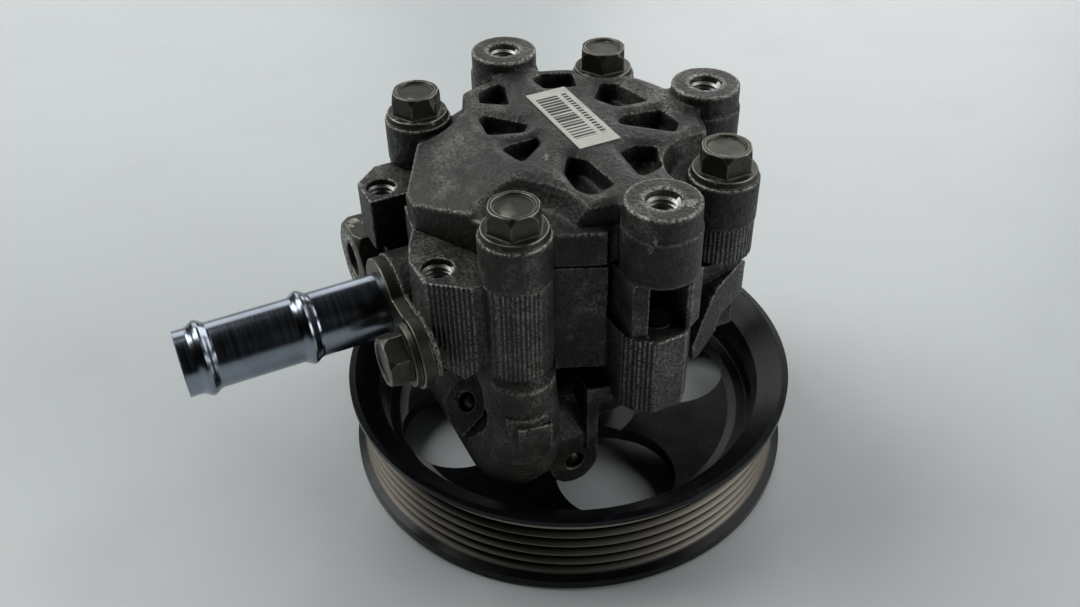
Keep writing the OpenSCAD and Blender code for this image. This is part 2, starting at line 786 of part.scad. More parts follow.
module hook() {
    hook_x = -14;
    hook_z = 52;
    translate([hook_x, lobe_y - 1, hook_z - 4]) cube([8.8, 18, 4]);
    translate([hook_x, lobe_y - 0.6, valve_z - 6]) cube([3.4, 6, hook_z - valve_z + 4]);
}

module wing() {
    at = [15, -43];
    translate([at[0], at[1], 0]) rotate([90, 0, 20.5]) translate([0, 0, -12]) linear_extrude(12) polygon([
        [0.2, 52.8], [2.5, 52.8], [9.1, 57], [10.9, 61.5], [19.6, 64.2], [20, 74], [18.4, 75],
        [8, 71.6], [5.6, 69], [2.4, 62.9], [-0.7, 57.3]]);
    translate([6, -bolt_y - tower_r + 0.2, post_z + 3.2]) cube([bolt_x - 4, 14, joint_z - post_z - 14.2]);
}

module housing_solid() {
    housing_round();
    for (x = [-bolt_x, bolt_x]) translate([x - bolt_shift, bolt_y, column_z])
        cylinder(h = joint_z - column_z, r = column_r);
    column_webs();
    fluted_columns();
    translate([0, 0, ear_z]) linear_extrude(joint_z - ear_z) side_post_outline();
    ledge_post();
    rod_x(-suction_seat, -bolt_x, 0, suction_z, flange_r + 0.5);
    against_seat(-suction_seat, -suction_seat + pad_t) flange_outline(0.4);
    rod_x(-suction_seat, -side_x + 1, -flange_reach, flange_bolt_z, thread_r + 1.2);
    rod_x(-outlet_seat, -valve_x + 8, outlet_y, outlet_z, outlet_r);
    valve_barrel();
    valve_web();
    bulge();
    plug_bosses();
    dome_pad();
    hook();
    wing();
    lug();
    panel(body_z - 1.4, joint_z - joint_groove);
}

module housing_cavity() {
    rotate_extrude() polygon([[0, nose_z - cut], [bearing_r + press_clear, nose_z - cut],
        [bearing_r + press_clear, bearing_top], [seal_od / 2 + press_clear, bearing_top],
        [seal_od / 2 + press_clear, seal_top + 0.5], [bush_od / 2 + press_clear, seal_top + 0.5],
        [bush_od / 2 + press_clear, floor_z], [chamber_r, floor_z], [chamber_r, joint_z + cut],
        [0, joint_z + cut]]);
    ring(bearing_r - cut, bearing_r + 1, bearing_z - circlip_t, bearing_z);
    ring(o_ring_mid_r - o_ring_depth / 2 - 0.3, o_ring_mid_r + o_ring_depth / 2 + 0.3,
        joint_z - o_ring_depth, joint_z + cut);
}

module front_housing() {
    window_d = 15;
    color(cast_grey) difference() {
        union() {
            difference() {
                housing_solid();
                at_plug(plug_seats[0]) translate([0, 0, -pad_lip]) cylinder(h = 30, r = spot_r);
            }
            at_plug(plug_seats[0]) translate([0, 0, -8]) linear_extrude(8) polygon(plug_pad);
        }
        housing_cavity();
        at_bolts() translate([0, 0, seat_z - cover_bolt_l - 0.5])
            cylinder(h = cover_bolt_l, r = thread_r + thread_clear);
        at_sides() translate([0, 0, joint_z - side_depth]) cylinder(h = side_depth + cut, r = thread_r);
        translate([lug_c[0] - lug_window_w / 2 - 0.8, lug_c[1] - window_d + 4.5, lug_z])
            cube([lug_window_w, window_d, joint_z - lug_z + cut]);
        translate([lug_c[0], lug_c[1], lug_z - lug_h - cut]) cylinder(h = lug_h + 2 * cut, r = thread_r);
        rod_x(-suction_seat - cut, -suction_seat + suction_depth, 0, suction_z, tube_r + slip_clear);
        rod_x(-suction_seat - cut, -suction_seat + 2 * suction_ring_r, 0, suction_z,
            tube_r + slip_clear + 2 * suction_ring_r + 0.2);
        rod_x(-suction_seat - cut, -flange_front + flange_bolt_l + 1, -flange_reach, flange_bolt_z,
            thread_r + thread_clear);
        rod_x(-outlet_seat - cut, -outlet_seat + outlet_stem_l + 0.5, outlet_y, outlet_z,
            outlet_stem_r + thread_clear);
        rod_y(valve_end, valve_mouth + cut, -valve_x, valve_z, valve_bore_r);
        rod_y(spool_top - 0.4, valve_mouth + cut, -valve_x, valve_z, valve_stem_r + thread_clear);
        for (p = plug_seats) at_plug(p) translate([0, 0, -plug_depth])
            cylinder(h = plug_depth + cut, r = plug_r + press_clear);
    }
}

module passage_plugs() {
    color(steel) for (p = plug_seats) at_plug(p) translate([0, 0, -plug_r - 0.6]) sphere(r = plug_r);
}

// Rear cover and what is on it
module ramp_outline() {
    shoulder = bolt_x + 2;
    tip = ramp_x - 1.5;
    wide = side_y + 5;
    polygon([[-tip, -2.5], [-bolt_x - 6, -side_y + 1.5], [-shoulder, -wide], [-ramp_start + 6, -wide],
        [-ramp_start + 6, wide], [-shoulder, wide], [-bolt_x - 6, side_y - 1.5], [-tip, 2.5]]);
}

module ramp_cut() {
    translate([-ramp_start, 0, plateau_z]) rotate([0, -ramp_slope, 0]) translate([-60, -26, 0])
        cube([60, 52, 40]);
}

module bolt_reliefs() {
    floor_z = joint_z + wall_h;
    for (p = reliefs) translate([p[0] * bolt_x - bolt_shift, p[1] * bolt_y, floor_z])
        cylinder(h = plateau_z - floor_z + 0.1, r1 = p[2], r2 = p[3]);
}

module cover_plateau() {
    rib_w = 2 * boss_r - 5.4;
    difference() {
        union() {
            translate([0, 0, joint_z]) cylinder(h = plateau_h, d = plateau_d);
            for (p = boss_points) rotate(atan2(p[1], p[0])) translate([norm(p) / 2, -rib_w / 2, joint_z])
                cube([norm(p) / 2, rib_w, plateau_h]);
            translate([0, 0, joint_z]) linear_extrude(plateau_h - 0.2) ramp_outline();
        }
        ramp_cut();
        bolt_reliefs();
        translate([0, 0, plateau_z - pocket_depth]) linear_extrude(boss_h) for (p = pockets) polygon(p);
    }
}

module rear_cover() {
    boss_step = 0.5;
    color(cast_grey) difference() {
        union() {
            difference() {
                translate([0, 0, joint_z]) cylinder(h = wall_h, d1 = cover_d, d2 = cover_d - 1);
                ramp_cut();
            }
            at_bolts() translate([0, 0, joint_z]) cylinder(h = seat_h, r = column_r + 0.2);
            cover_plateau();
            panel(joint_z + joint_groove, joint_z + wall_h - joint_groove);
            at_bosses() translate([0, 0, joint_z]) cylinder(h = boss_h, r = boss_r);
            at_bosses() translate([0, 0, joint_z]) cylinder(h = seat_h + 0.8, r = boss_r + boss_step);
        }
        at_bolts() translate([0, 0, joint_z - cut]) cylinder(h = seat_h + 2 * cut, r = thread_r + 0.4);
        at_bosses() translate([0, 0, joint_z - cut]) cylinder(h = boss_h + 2 * cut, r = thread_r);
        at_bosses() translate([0, 0, boss_z - 1]) cylinder(h = 2, r1 = thread_r, r2 = thread_r + 2);
        translate([0, 0, joint_z - cut]) cylinder(h = shaft_top - joint_z + 2 * cut, r = spline_r + 1);
        dowels(dowel_d / 2 + running_clear, joint_z - cut, joint_z + 4);
    }
}

module cover_bolts() {
    color(plated) at_bolts() translate([0, 0, seat_z]) flange_bolt(cover_bolt_l);
}

module cover_label() {
    color("ivory") translate([label_c[0] - label_w / 2, label_c[1] - label_l / 2, plateau_z])
        cube([label_w, label_l, label_t]);
}

// Suction tube and outlet union
module suction_tube() {
    length = tube_end - tube_seat;
    bead_half = 2.7;
    steps = 5;
    // Each bead rises and falls as one wave of a cosine
    beads = [for (x = [bead_end, bead_end + bead_gap], i = [-steps:steps])
        [tube_r + bead_h * (1 + cos(180 * i / steps)) / 2, x + bead_half * i / steps]];
    color(bright) translate([-tube_end, 0, suction_z]) rotate([0, 90, 0]) rotate_extrude()
        polygon(concat([[tube_r - tube_wall, 0], [tube_r, 0]], beads,
            [[tube_r, length], [tube_r - tube_wall, length]]));
}

module suction_flange() {
    color(plated) difference() {
        against_seat(-flange_front, -suction_seat) flange_outline(0);
        rod_x(-flange_front - cut, -suction_seat + cut, 0, suction_z, tube_r + press_clear);
        rod_x(-flange_front - cut, -suction_seat + cut, -flange_reach, flange_bolt_z, thread_r + 0.3);
    }
}

module suction_flange_bolt() {
    color(plated) translate([-flange_front, -flange_reach, flange_bolt_z]) rotate([0, -90, 0])
        flange_bolt(flange_bolt_l);
}

module suction_o_ring() {
    color(rubber) translate([-suction_seat + suction_ring_r, 0, suction_z]) rotate([0, 90, 0])
        torus(tube_r + suction_ring_r + running_clear, suction_ring_r - running_clear);
}

module outlet_union() {
    hex_x = outlet_seat + outlet_seal_t;
    color(plated) translate([-hex_x, outlet_y, outlet_z]) rotate([0, -90, 0]) difference() {
        union() {
            rotate(30) intersection() {
                hex(outlet_af, outlet_hex_l);
                cylinder(h = outlet_hex_l, r1 = outlet_af / 2 + 5, r2 = outlet_af / 2 + 0.2);
            }
            translate([0, 0, -outlet_stem_l - outlet_seal_t])
                cylinder(h = outlet_stem_l + outlet_seal_t + 1, r = outlet_stem_r);
        }
        translate([0, 0, outlet_hex_l - 12]) cylinder(h = 12 + cut, d = outlet_thread_d);
        translate([0, 0, -outlet_stem_l - outlet_seal_t - cut])
            cylinder(h = outlet_stem_l + 2 * cut, r = 2.2);
    }
}

module outlet_seal() {
    color(bronze) translate([-outlet_seat, outlet_y, outlet_z]) rotate([0, -90, 0])
        ring(outlet_stem_r + slip_clear, outlet_stem_r + 2.6, 0, outlet_seal_t);
}

// Flow valve, with each piece drawn along +Z from the valve's mouth
module along_valve(y) {
    translate([-valve_x, y, valve_z]) rotate([-90, 0, 0]) children();
}

module flow_valve_spool() {
    color(steel) along_valve(spool_low) difference() {
        cylinder(h = spool_len, r = spool_r);
        translate([0, 0, -cut]) cylinder(h = spring_pocket_l + cut, r = spring_pocket_r);
        for (z = [spool_len * 0.62, spool_len * 0.8]) ring(spool_r - 1, spool_r + cut, z, z + 1.6);
    }
}

// Helix of the valve spring, as rings of points swept along its turns
spring_sides = 6;
spring_steps = 14;
spring_rings = spring_turns * spring_steps;
spring_rise = spring_top - spring_low - spring_wire;
spring_points = [for (i = [0:spring_rings], k = [0:spring_sides - 1])
    let (a = i * 360 / spring_steps, b = k * 360 / spring_sides,
        r = spring_r + spring_wire / 2 * cos(b))
    [r * cos(a), r * sin(a), spring_rise * i / spring_rings + spring_wire / 2 * (1 + sin(b))]];
spring_walls = [for (i = [0:spring_rings - 1], k = [0:spring_sides - 1])
    let (n = (k + 1) % spring_sides, a = i * spring_sides, b = a + spring_sides)
    [a + k, b + k, b + n, a + n]];
spring_caps = [[for (k = [0:spring_sides - 1]) k],
    [for (k = [spring_sides - 1:-1:0]) spring_rings * spring_sides + k]];

module flow_valve_spring() {
    color(steel) along_valve(spring_low) polyhedron(spring_points, concat(spring_walls, spring_caps));
}

module valve_plug() {
    hex_l = 6;
    color(plated) along_valve(valve_mouth - valve_stem_l) {
        cylinder(h = valve_stem_l + valve_seal_t + 1, r = valve_stem_r);
        translate([0, 0, valve_stem_l + valve_seal_t]) intersection() {
            hex(valve_plug_af, hex_l);
            cylinder(h = hex_l, r1 = valve_plug_af / 2 + 4, r2 = valve_plug_af / 2 + 0.2);
        }
    }
}

module valve_plug_seal() {
    color(bronze) along_valve(valve_mouth)
        ring(valve_stem_r + slip_clear, valve_stem_r + 2.4, 0, valve_seal_t);
}

pulley();
pulley_nut();
pulley_washer();
drive_shaft();
bearing_outer_race();
bearing_inner_race();
bearing_balls();
bearing_cage();
bearing_circlip();
shaft_seal();
shaft_bush();
front_plate();
cam_ring();
rear_plate();
rotor();
vanes();
rotor_snap_ring();
dowel_pins();
cover_o_ring();
front_housing();
rear_cover();
cover_bolts();
cover_label();
suction_tube();
suction_flange();
suction_flange_bolt();
suction_o_ring();
outlet_union();
outlet_seal();
flow_valve_spool();
flow_valve_spring();
valve_plug();
valve_plug_seal();
passage_plugs();
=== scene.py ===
import json
import math

import bpy
import numpy as np
from mathutils import Euler, Matrix, Vector
from mathutils.kdtree import KDTree


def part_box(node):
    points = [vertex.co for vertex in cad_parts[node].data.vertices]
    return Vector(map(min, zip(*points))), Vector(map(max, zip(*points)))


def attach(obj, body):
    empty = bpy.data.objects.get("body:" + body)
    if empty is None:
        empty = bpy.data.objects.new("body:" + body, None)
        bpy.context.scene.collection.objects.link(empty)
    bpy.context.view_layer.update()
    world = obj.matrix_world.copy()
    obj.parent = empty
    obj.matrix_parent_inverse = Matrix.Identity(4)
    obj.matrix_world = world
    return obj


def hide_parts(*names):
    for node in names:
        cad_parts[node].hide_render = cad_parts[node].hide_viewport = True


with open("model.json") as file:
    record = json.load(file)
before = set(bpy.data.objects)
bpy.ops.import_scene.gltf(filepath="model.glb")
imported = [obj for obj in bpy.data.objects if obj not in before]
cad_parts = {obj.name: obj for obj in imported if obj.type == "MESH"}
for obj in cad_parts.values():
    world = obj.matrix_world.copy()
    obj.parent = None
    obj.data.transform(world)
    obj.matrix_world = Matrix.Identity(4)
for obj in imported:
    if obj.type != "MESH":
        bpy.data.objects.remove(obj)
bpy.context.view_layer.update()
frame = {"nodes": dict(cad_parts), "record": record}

bl_info = {
    "name": "Power steering pump",
    "version": (1, 0, 0),
    "blender": (4, 5, 0),
    "location": "View3D > Sidebar > Pump",
    "description": "Cast surfaces, threads, finishes and studio for a power steering pump",
    "category": "Object",
}

MM = 0.001
BODY = "pump_body"
SLOT_OF = {part["node"]: part["material_slot"] for part in frame["record"]["subparts"]}
MOUNTS = {mount["name"]: mount for mount in frame["record"]["mounts"]}
BOSSES = ("cover_boss_side", "cover_boss_far", "cover_boss_near")

# Axes of the cover's bolts
BOLT_AXES = [(x * MM, y * MM) for x in (-29.3, 27.5) for y in (-31.2, 31.2)]

# Blocks of the casting, in millimetres: corners in plan, lower height, upper height
# The hook stands by the barrel's end, and the shelf lies under the cover's ramp
HOOK = ([(-14.6, -40), (-8.3, -41.4), (-5.4, -37.8), (-13.6, -32)], 46.5, 52)
SHELF = ([(-35, -15.2), (-35, 9), (-42.6, 9), (-44.4, -1.8), (-47.6, -7.6), (-50.4, -15.2)], 76, 87.9)

# Bolts and plates: the CAD node, the name of its rounded piece, and the passes that round it
ROUNDED_PARTS = (
    ("cover_bolts", "flange_bolts", 4),
    ("suction_flange", "flange_plate", 4),
    ("suction_flange_bolt", "flange_plate_bolt", 4),
    ("outlet_union", "hose_union", 14),
    ("valve_plug", "barrel_plug", 10),
)

# Straight steps in one turn of a thread
THREAD_STEPS = 28

# Camera of the photograph: place in metres, turn in degrees, lens in millimetres,
# shift as a share of the picture's width
CAMERA_AT = (-0.1103, -0.21639, 0.23949)
CAMERA_TURN = (51.795, 1.256, -25.498)
CAMERA_LENS = 35.763
CAMERA_SHIFT = (0.0091, -0.0039)

# Square lamps: compass angle and height in degrees, width in metres
LAMPS = {
    "key": (135, 48, 0.8),
    "side": (0, 48, 0.8),
    "rear": (45, 25, 0.7),
    "back": (90, 25, 0.7),
    "front": (315, 25, 0.7),
}
LAMP_DISTANCE = 1.3
TABLE_SIZE = 6

# Sockets of the Mix node when it mixes colours
MIX_A = 6
MIX_B = 7
MIXED = 2


def linear(code):
    """Turns an sRGB hex colour into linear red, green, blue and alpha."""
    parts = [int(code[i:i + 2], 16) / 255 for i in (1, 3, 5)]
    return [p / 12.92 if p <= 0.04045 else ((p + 0.055) / 1.055) ** 2.4 for p in parts] + [1.0]


def per(size_mm):
    """Scale of a pattern on Object coordinates whose features are size_mm wide."""
    return 1 / (size_mm * MM)


class CastSettings(bpy.types.PropertyGroup):
    """Sizes of the cast skin and its colours."""

    housing_voxel: bpy.props.FloatProperty(
        name="Housing grid", description="Grid of the housing's cast skin, fine enough for its flutes",
        default=0.28 * MM, unit="LENGTH", precision=5)
    cover_voxel: bpy.props.FloatProperty(
        name="Cover grid", description="Grid of the cover's cast skin",
        default=0.45 * MM, unit="LENGTH", precision=5)
    housing_rounding: bpy.props.IntProperty(
        name="Housing rounding", description="Passes that round the housing's edges", default=9, min=1)
    cover_rounding: bpy.props.IntProperty(
        name="Cover rounding", description="Passes that round the cover's ribs", default=40, min=1)
    faces: bpy.props.IntProperty(
        name="Faces", description="Triangles kept in each cast piece", default=185000, min=20000)
    dark: bpy.props.FloatVectorProperty(
        name="Oxide", description="Colour of the oiled, oxidised skin",
        default=linear("#1f211f"), size=4, subtype="COLOR")
    pale: bpy.props.FloatVectorProperty(
        name="Skin", description="Colour of the drier skin",
        default=linear("#40423d"), size=4, subtype="COLOR")
    # Exposed metal on the casting's edges, also used as the painted highlight on edges that face up.
    bare_and_highlight: bpy.props.FloatVectorProperty(
        name="Bare metal", description="Colour of the rubbed edges",
        default=linear("#bdbdb4"), size=4, subtype="COLOR")


class HardwareSettings(bpy.types.PropertyGroup):
    """Sizes and colours of the bolts, plates, tube and pulley."""

    bolt_voxel: bpy.props.FloatProperty(
        name="Bolt grid", description="Grid of the rounded bolts and plates",
        default=0.22 * MM, unit="LENGTH", precision=5)
    faces: bpy.props.IntProperty(
        name="Faces", description="Triangles kept in each rounded piece", default=90000, min=10000)
    thread_pitch: bpy.props.FloatProperty(
        name="Thread pitch", description="Pitch of the threads in the holes",
        default=1.25 * MM, unit="LENGTH", precision=5)
    thread_depth: bpy.props.FloatProperty(
        name="Thread depth", description="How far a thread stands out of its hole's wall",
        default=0.68 * MM, unit="LENGTH", precision=5)
    zinc: bpy.props.FloatVectorProperty(
        name="Aged zinc", description="Colour of the bolts",
        default=linear("#44443c"), size=4, subtype="COLOR")
    bright: bpy.props.FloatVectorProperty(
        name="Bright zinc", description="Colour of the suction tube",
        default=linear("#929ba6"), size=4, subtype="COLOR")
    coat: bpy.props.FloatVectorProperty(
        name="Black coat", description="Colour of the pulley",
        default=linear("#0d0f12"), size=4, subtype="COLOR")


class StageSettings(bpy.types.PropertyGroup):
    """The table and the light."""

    table: bpy.props.FloatVectorProperty(
        name="Table", description="Colour of the table",
        default=linear("#c9cfd0"), size=4, subtype="COLOR")
    key_power: bpy.props.FloatProperty(
        name="Key light", description="Power of the large lamp behind on the left",
        default=9.5, unit="POWER")
    side_power: bpy.props.FloatProperty(
        name="Side light", description="Power of the lamp on the right",
        default=4.2, unit="POWER")
    rear_power: bpy.props.FloatProperty(
        name="Rear light", description="Power of the low lamp behind on the right",
        default=4.0, unit="POWER")
    back_power: bpy.props.FloatProperty(
        name="Back light", description="Power of the low lamp straight behind",
        default=2.4, unit="POWER")
    front_power: bpy.props.FloatProperty(
        name="Front light", description="Power of the low lamp in front on the right",
        default=5.5, unit="POWER")


def deselect():
    """Leaves object mode with nothing selected."""
    if bpy.context.object and bpy.context.object.mode != "OBJECT":
        bpy.ops.object.mode_set(mode="OBJECT")
    bpy.ops.object.select_all(action="DESELECT")


def activate(piece):
    """Selects one piece alone and makes it active."""
    deselect()
    piece.select_set(True)
    bpy.context.view_layer.objects.active = piece


def apply_modifier(piece, kind, **settings):
    """Adds a modifier with its settings and applies it."""
    activate(piece)
    modifier = piece.modifiers.new(kind.title(), kind)
    for name, value in settings.items():
        setattr(modifier, name, value)
    bpy.ops.object.modifier_apply(modifier=modifier.name)


def copy_of(node, name):
    """Copies a CAD node's mesh into a new piece and merges its loose triangles."""
    source = frame["nodes"][node]
    piece = bpy.data.objects.new(name, source.data.copy())
    bpy.context.scene.collection.objects.link(piece)
    piece.data.materials.clear()
    activate(piece)
    bpy.ops.object.mode_set(mode="EDIT")
    bpy.ops.mesh.select_all(action="SELECT")
    bpy.ops.mesh.remove_doubles(threshold=1e-7)
    bpy.ops.object.mode_set(mode="OBJECT")
    return piece


def places(piece):
    """The piece's vertices as rows of x, y, z."""
    flat = np.empty(len(piece.data.vertices) * 3, np.float32)
    piece.data.vertices.foreach_get("co", flat)
    return flat.reshape(-1, 3)


def join(pieces, name):
    """Joins pieces into one with a name."""
    activate(pieces[0])
    for piece in pieces[1:]:
        piece.select_set(True)
    bpy.ops.object.join()
    pieces[0].name = name
    return pieces[0]


def rounded(piece, voxel, passes, faces, softness=None, form=None):
    """Lays a piece on a fine grid, shapes it by form and rounds it by the share that softness gives."""
    apply_modifier(piece, "REMESH", mode="VOXEL", voxel_size=voxel)
    at = places(piece)
    if form:
        at = form(at)
        piece.data.vertices.foreach_set("co", at.ravel())
        piece.data.update()
    soft = piece.vertex_groups.new(name="soft")
    share = softness(at) if softness else np.ones(len(at))
    for level in np.unique(share):
        soft.add(np.flatnonzero(share == level).tolist(), float(level), "REPLACE")
    apply_modifier(piece, "SMOOTH", factor=0.5, iterations=passes, vertex_group="soft")
    piece.vertex_groups.clear()
    triangles = 2 * len(piece.data.polygons)
    if triangles > faces:
        apply_modifier(piece, "DECIMATE", ratio=faces / triangles)
    activate(piece)
    bpy.ops.object.shade_smooth()
    return piece


def settle(piece, body, slot, material, *nodes):
    """Gives a piece its finish, its body and the CAD nodes that it stands for."""
    piece.data.materials.clear()
    piece.data.materials.append(material)
    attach(piece, body)
    if nodes:
        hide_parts(*nodes)


def add(tree, kind, sockets=None, **settings):
    """Adds a node, sets its properties, and sets or links its sockets."""
    node = tree.nodes.new(kind)
    for name, value in settings.items():
        setattr(node, name, value)
    for name, value in (sockets or {}).items():
        if isinstance(value, bpy.types.NodeSocket):
            tree.links.new(value, node.inputs[name])
        else:
            node.inputs[name].default_value = value
    return node


def new_material(name):
    """An empty material and its node tree."""
    found = bpy.data.materials.new(name)
    found.use_nodes = True
    found.node_tree.nodes.clear()
    return found, found.node_tree


def show(tree, shader):
    """Ends a tree with its shader."""
    add(tree, "ShaderNodeOutputMaterial", {"Surface": shader.outputs[0]})


def aged_cast_aluminium():
    """Die-cast skin dark with oxide and oil: grainy, mottled, with silvery metal showing through by wear on
    the raised edges plus a painted highlight on edges that face up, and darkened in hollows and creases by
    oily grime plus painted shade.
    """
    cast = bpy.context.scene.pump_cast
    material, tree = new_material("aged_cast_aluminium")
    at = add(tree, "ShaderNodeTexCoord").outputs["Object"]
    blotch = add(tree, "ShaderNodeTexNoise", {"Vector": at, "Scale": per(12), "Detail": 6, "Roughness": 0.62})
    grain = add(tree, "ShaderNodeTexNoise", {"Vector": at, "Scale": per(0.7), "Detail": 5, "Roughness": 0.7})
    fleck = add(tree, "ShaderNodeTexNoise", {"Vector": at, "Scale": per(2.4), "Detail": 7, "Roughness": 0.75})
    pores = add(tree, "ShaderNodeTexVoronoi", {"Vector": at, "Scale": per(1.3)})
    stain = add(tree, "ShaderNodeTexNoise", {"Vector": at, "Scale": per(26), "Detail": 3})
    shape = add(tree, "ShaderNodeNewGeometry")
    facing = add(tree, "ShaderNodeSeparateXYZ", {0: shape.outputs["Normal"]})
    crease = add(tree, "ShaderNodeAmbientOcclusion", {"Distance": 6 * MM}, samples=6)
    both = add(tree, "ShaderNodeMix", {"Factor": 0.6, 2: blotch.outputs["Fac"], 3: fleck.outputs["Fac"]})
    mottled = add(tree, "ShaderNodeMapRange", {"Value": both.outputs[0], "From Min": 0.4, "From Max": 0.62})
    skin = add(tree, "ShaderNodeMix", {"Factor": mottled.outputs[0], MIX_A: cast.dark, MIX_B: cast.pale},
               data_type="RGBA")
    oily = add(tree, "ShaderNodeMapRange",
               {"Value": stain.outputs["Fac"], "From Min": 0.48, "From Max": 0.7, "To Max": 0.65})
    stained = add(tree, "ShaderNodeMix",
                  {"Factor": oily.outputs[0], MIX_A: skin.outputs[MIXED], MIX_B: linear("#38342a")},
                  data_type="RGBA")
    pits = add(tree, "ShaderNodeMapRange",
               {"Value": grain.outputs["Fac"], "From Min": 0.5, "From Max": 0.36, "To Max": 0.7})
    pitted = add(tree, "ShaderNodeMix",
                 {"Factor": pits.outputs[0], MIX_A: stained.outputs[MIXED], MIX_B: linear("#161715")},
                 data_type="RGBA")
    # Painted highlight: raised edges (high pointiness) are mixed towards the exposed-metal colour in grainy
    # glints, weighted onto faces that point up where the light falls; partly edge wear, partly painted
    # highlight.
    upward_highlight = add(tree, "ShaderNodeMapRange",
                 {"Value": facing.outputs[2], "From Min": -0.3, "From Max": 0.5,
                  "To Min": 0.22, "To Max": 0.85})
    raised = add(tree, "ShaderNodeMapRange",
                 {"Value": shape.outputs["Pointiness"], "From Min": 0.506, "From Max": 0.535})
    bared_and_highlit = add(tree, "ShaderNodeMath", {0: raised.outputs[0], 1: upward_highlight.outputs[0]}, operation="MULTIPLY")
    dry = add(tree, "ShaderNodeMapRange",
              {"Value": blotch.outputs["Fac"], "From Min": 0.52, "From Max": 0.72, "To Max": 0.4})
    rubbing_and_highlight = add(tree, "ShaderNodeMath", {0: bared_and_highlit.outputs[0], 1: dry.outputs[0]}, operation="ADD")
    glint = add(tree, "ShaderNodeMapRange",
                {"Value": grain.outputs["Fac"], "From Min": 0.4, "From Max": 0.64})
    rubbed_and_highlit = add(tree, "ShaderNodeMath", {0: rubbing_and_highlight.outputs[0], 1: glint.outputs[0]}, operation="MULTIPLY",
                 use_clamp=True)
    worn_and_highlit = add(tree, "ShaderNodeMix",
               {"Factor": rubbed_and_highlit.outputs[0], MIX_A: pitted.outputs[MIXED], MIX_B: cast.bare_and_highlight},
               data_type="RGBA")
    # Painted shade: hollows (low pointiness) and creases (low ambient occlusion) are darkened towards
    # #0f0f0e; partly oily grime, partly shade painted into the colour.
    hollow = add(tree, "ShaderNodeMapRange",
                 {"Value": shape.outputs["Pointiness"], "From Min": 0.495, "From Max": 0.465, "To Max": 0.9})
    shaded = add(tree, "ShaderNodeMapRange",
                 {"Value": crease.outputs["AO"], "From Min": 0.8, "From Max": 0.3, "To Max": 0.75})
    dirt_and_shade = add(tree, "ShaderNodeMath", {0: hollow.outputs[0], 1: shaded.outputs[0]}, operation="MAXIMUM")
    dirty_and_shaded = add(tree, "ShaderNodeMix",
                {"Factor": dirt_and_shade.outputs[0], MIX_A: worn_and_highlit.outputs[MIXED], MIX_B: linear("#0f0f0e")},
                data_type="RGBA")
    sheen = add(tree, "ShaderNodeMapRange",
                {"Value": grain.outputs["Fac"], "From Min": 0.3, "From Max": 0.7,
                 "To Min": 0.62, "To Max": 0.4})
    rough = add(tree, "ShaderNodeMix", {"Factor": dirt_and_shade.outputs[0], 2: sheen.outputs[0], 3: 0.34})
    height = add(tree, "ShaderNodeMath",
                 {0: grain.outputs["Fac"], 1: pores.outputs["Distance"]}, operation="ADD")
    bump = add(tree, "ShaderNodeBump", {"Height": height.outputs[0], "Strength": 0.6, "Distance": 0.3 * MM})
    shader = add(tree, "ShaderNodeBsdfPrincipled", {
        "Base Color": dirty_and_shaded.outputs[MIXED], "Metallic": 0.4, "Roughness": rough.outputs[0],
        "Normal": bump.outputs[0]})
    show(tree, shader)
    return material


def aged_zinc_steel(name, colour, stain_colour):
    """Zinc plating gone dull under oil and dust: low sheen, stained patches, brighter corners that are partly
    wear and partly painted highlight, and creases darkened by grime plus painted shade.
    """
    material, tree = new_material(name)
    at = add(tree, "ShaderNodeTexCoord").outputs["Object"]
    patch = add(tree, "ShaderNodeTexNoise", {"Vector": at, "Scale": per(4), "Detail": 6, "Roughness": 0.65})
    grit = add(tree, "ShaderNodeTexNoise", {"Vector": at, "Scale": per(0.5), "Detail": 3})
    crease = add(tree, "ShaderNodeAmbientOcclusion", {"Distance": 3 * MM}, samples=6)
    stain = add(tree, "ShaderNodeMapRange",
                {"Value": patch.outputs["Fac"], "From Min": 0.42, "From Max": 0.66, "To Max": 0.8})
    plated = add(tree, "ShaderNodeMix", {"Factor": stain.outputs[0], MIX_A: colour, MIX_B: stain_colour},
                 data_type="RGBA")
    shape = add(tree, "ShaderNodeNewGeometry")
    # Painted highlight: raised corners (high pointiness) are brightened towards #b4b3a6 in broken patches;
    # partly wear on the rims, partly painted highlight.
    raised = add(tree, "ShaderNodeMapRange",
                 {"Value": shape.outputs["Pointiness"], "From Min": 0.508, "From Max": 0.55})
    broken = add(tree, "ShaderNodeMapRange",
                 {"Value": patch.outputs["Fac"], "From Min": 0.36, "From Max": 0.55, "To Max": 0.9})
    rubbed_and_highlit = add(tree, "ShaderNodeMath", {0: raised.outputs[0], 1: broken.outputs[0]}, operation="MULTIPLY")
    worn_and_highlit = add(tree, "ShaderNodeMix",
               {"Factor": rubbed_and_highlit.outputs[0], MIX_A: plated.outputs[MIXED], MIX_B: linear("#b4b3a6")},
               data_type="RGBA")
    # Painted shade: creases (low ambient occlusion) are darkened towards #1e1c17; partly oily grime, partly
    # shade painted into the colour.
    dirt_and_shade = add(tree, "ShaderNodeMapRange",
               {"Value": crease.outputs["AO"], "From Min": 0.7, "From Max": 0.25, "To Max": 0.8})
    dirty_and_shaded = add(tree, "ShaderNodeMix",
                {"Factor": dirt_and_shade.outputs[0], MIX_A: worn_and_highlit.outputs[MIXED], MIX_B: linear("#1e1c17")},
                data_type="RGBA")
    rough = add(tree, "ShaderNodeMapRange", {"Value": patch.outputs["Fac"], "To Min": 0.32, "To Max": 0.58})
    bump = add(tree, "ShaderNodeBump",
               {"Height": grit.outputs["Fac"], "Strength": 0.15, "Distance": 0.1 * MM})
    shader = add(tree, "ShaderNodeBsdfPrincipled", {
        "Base Color": dirty_and_shaded.outputs[MIXED], "Metallic": 0.8, "Roughness": rough.outputs[0],
        "Normal": bump.outputs[0]})
    show(tree, shader)
    return material


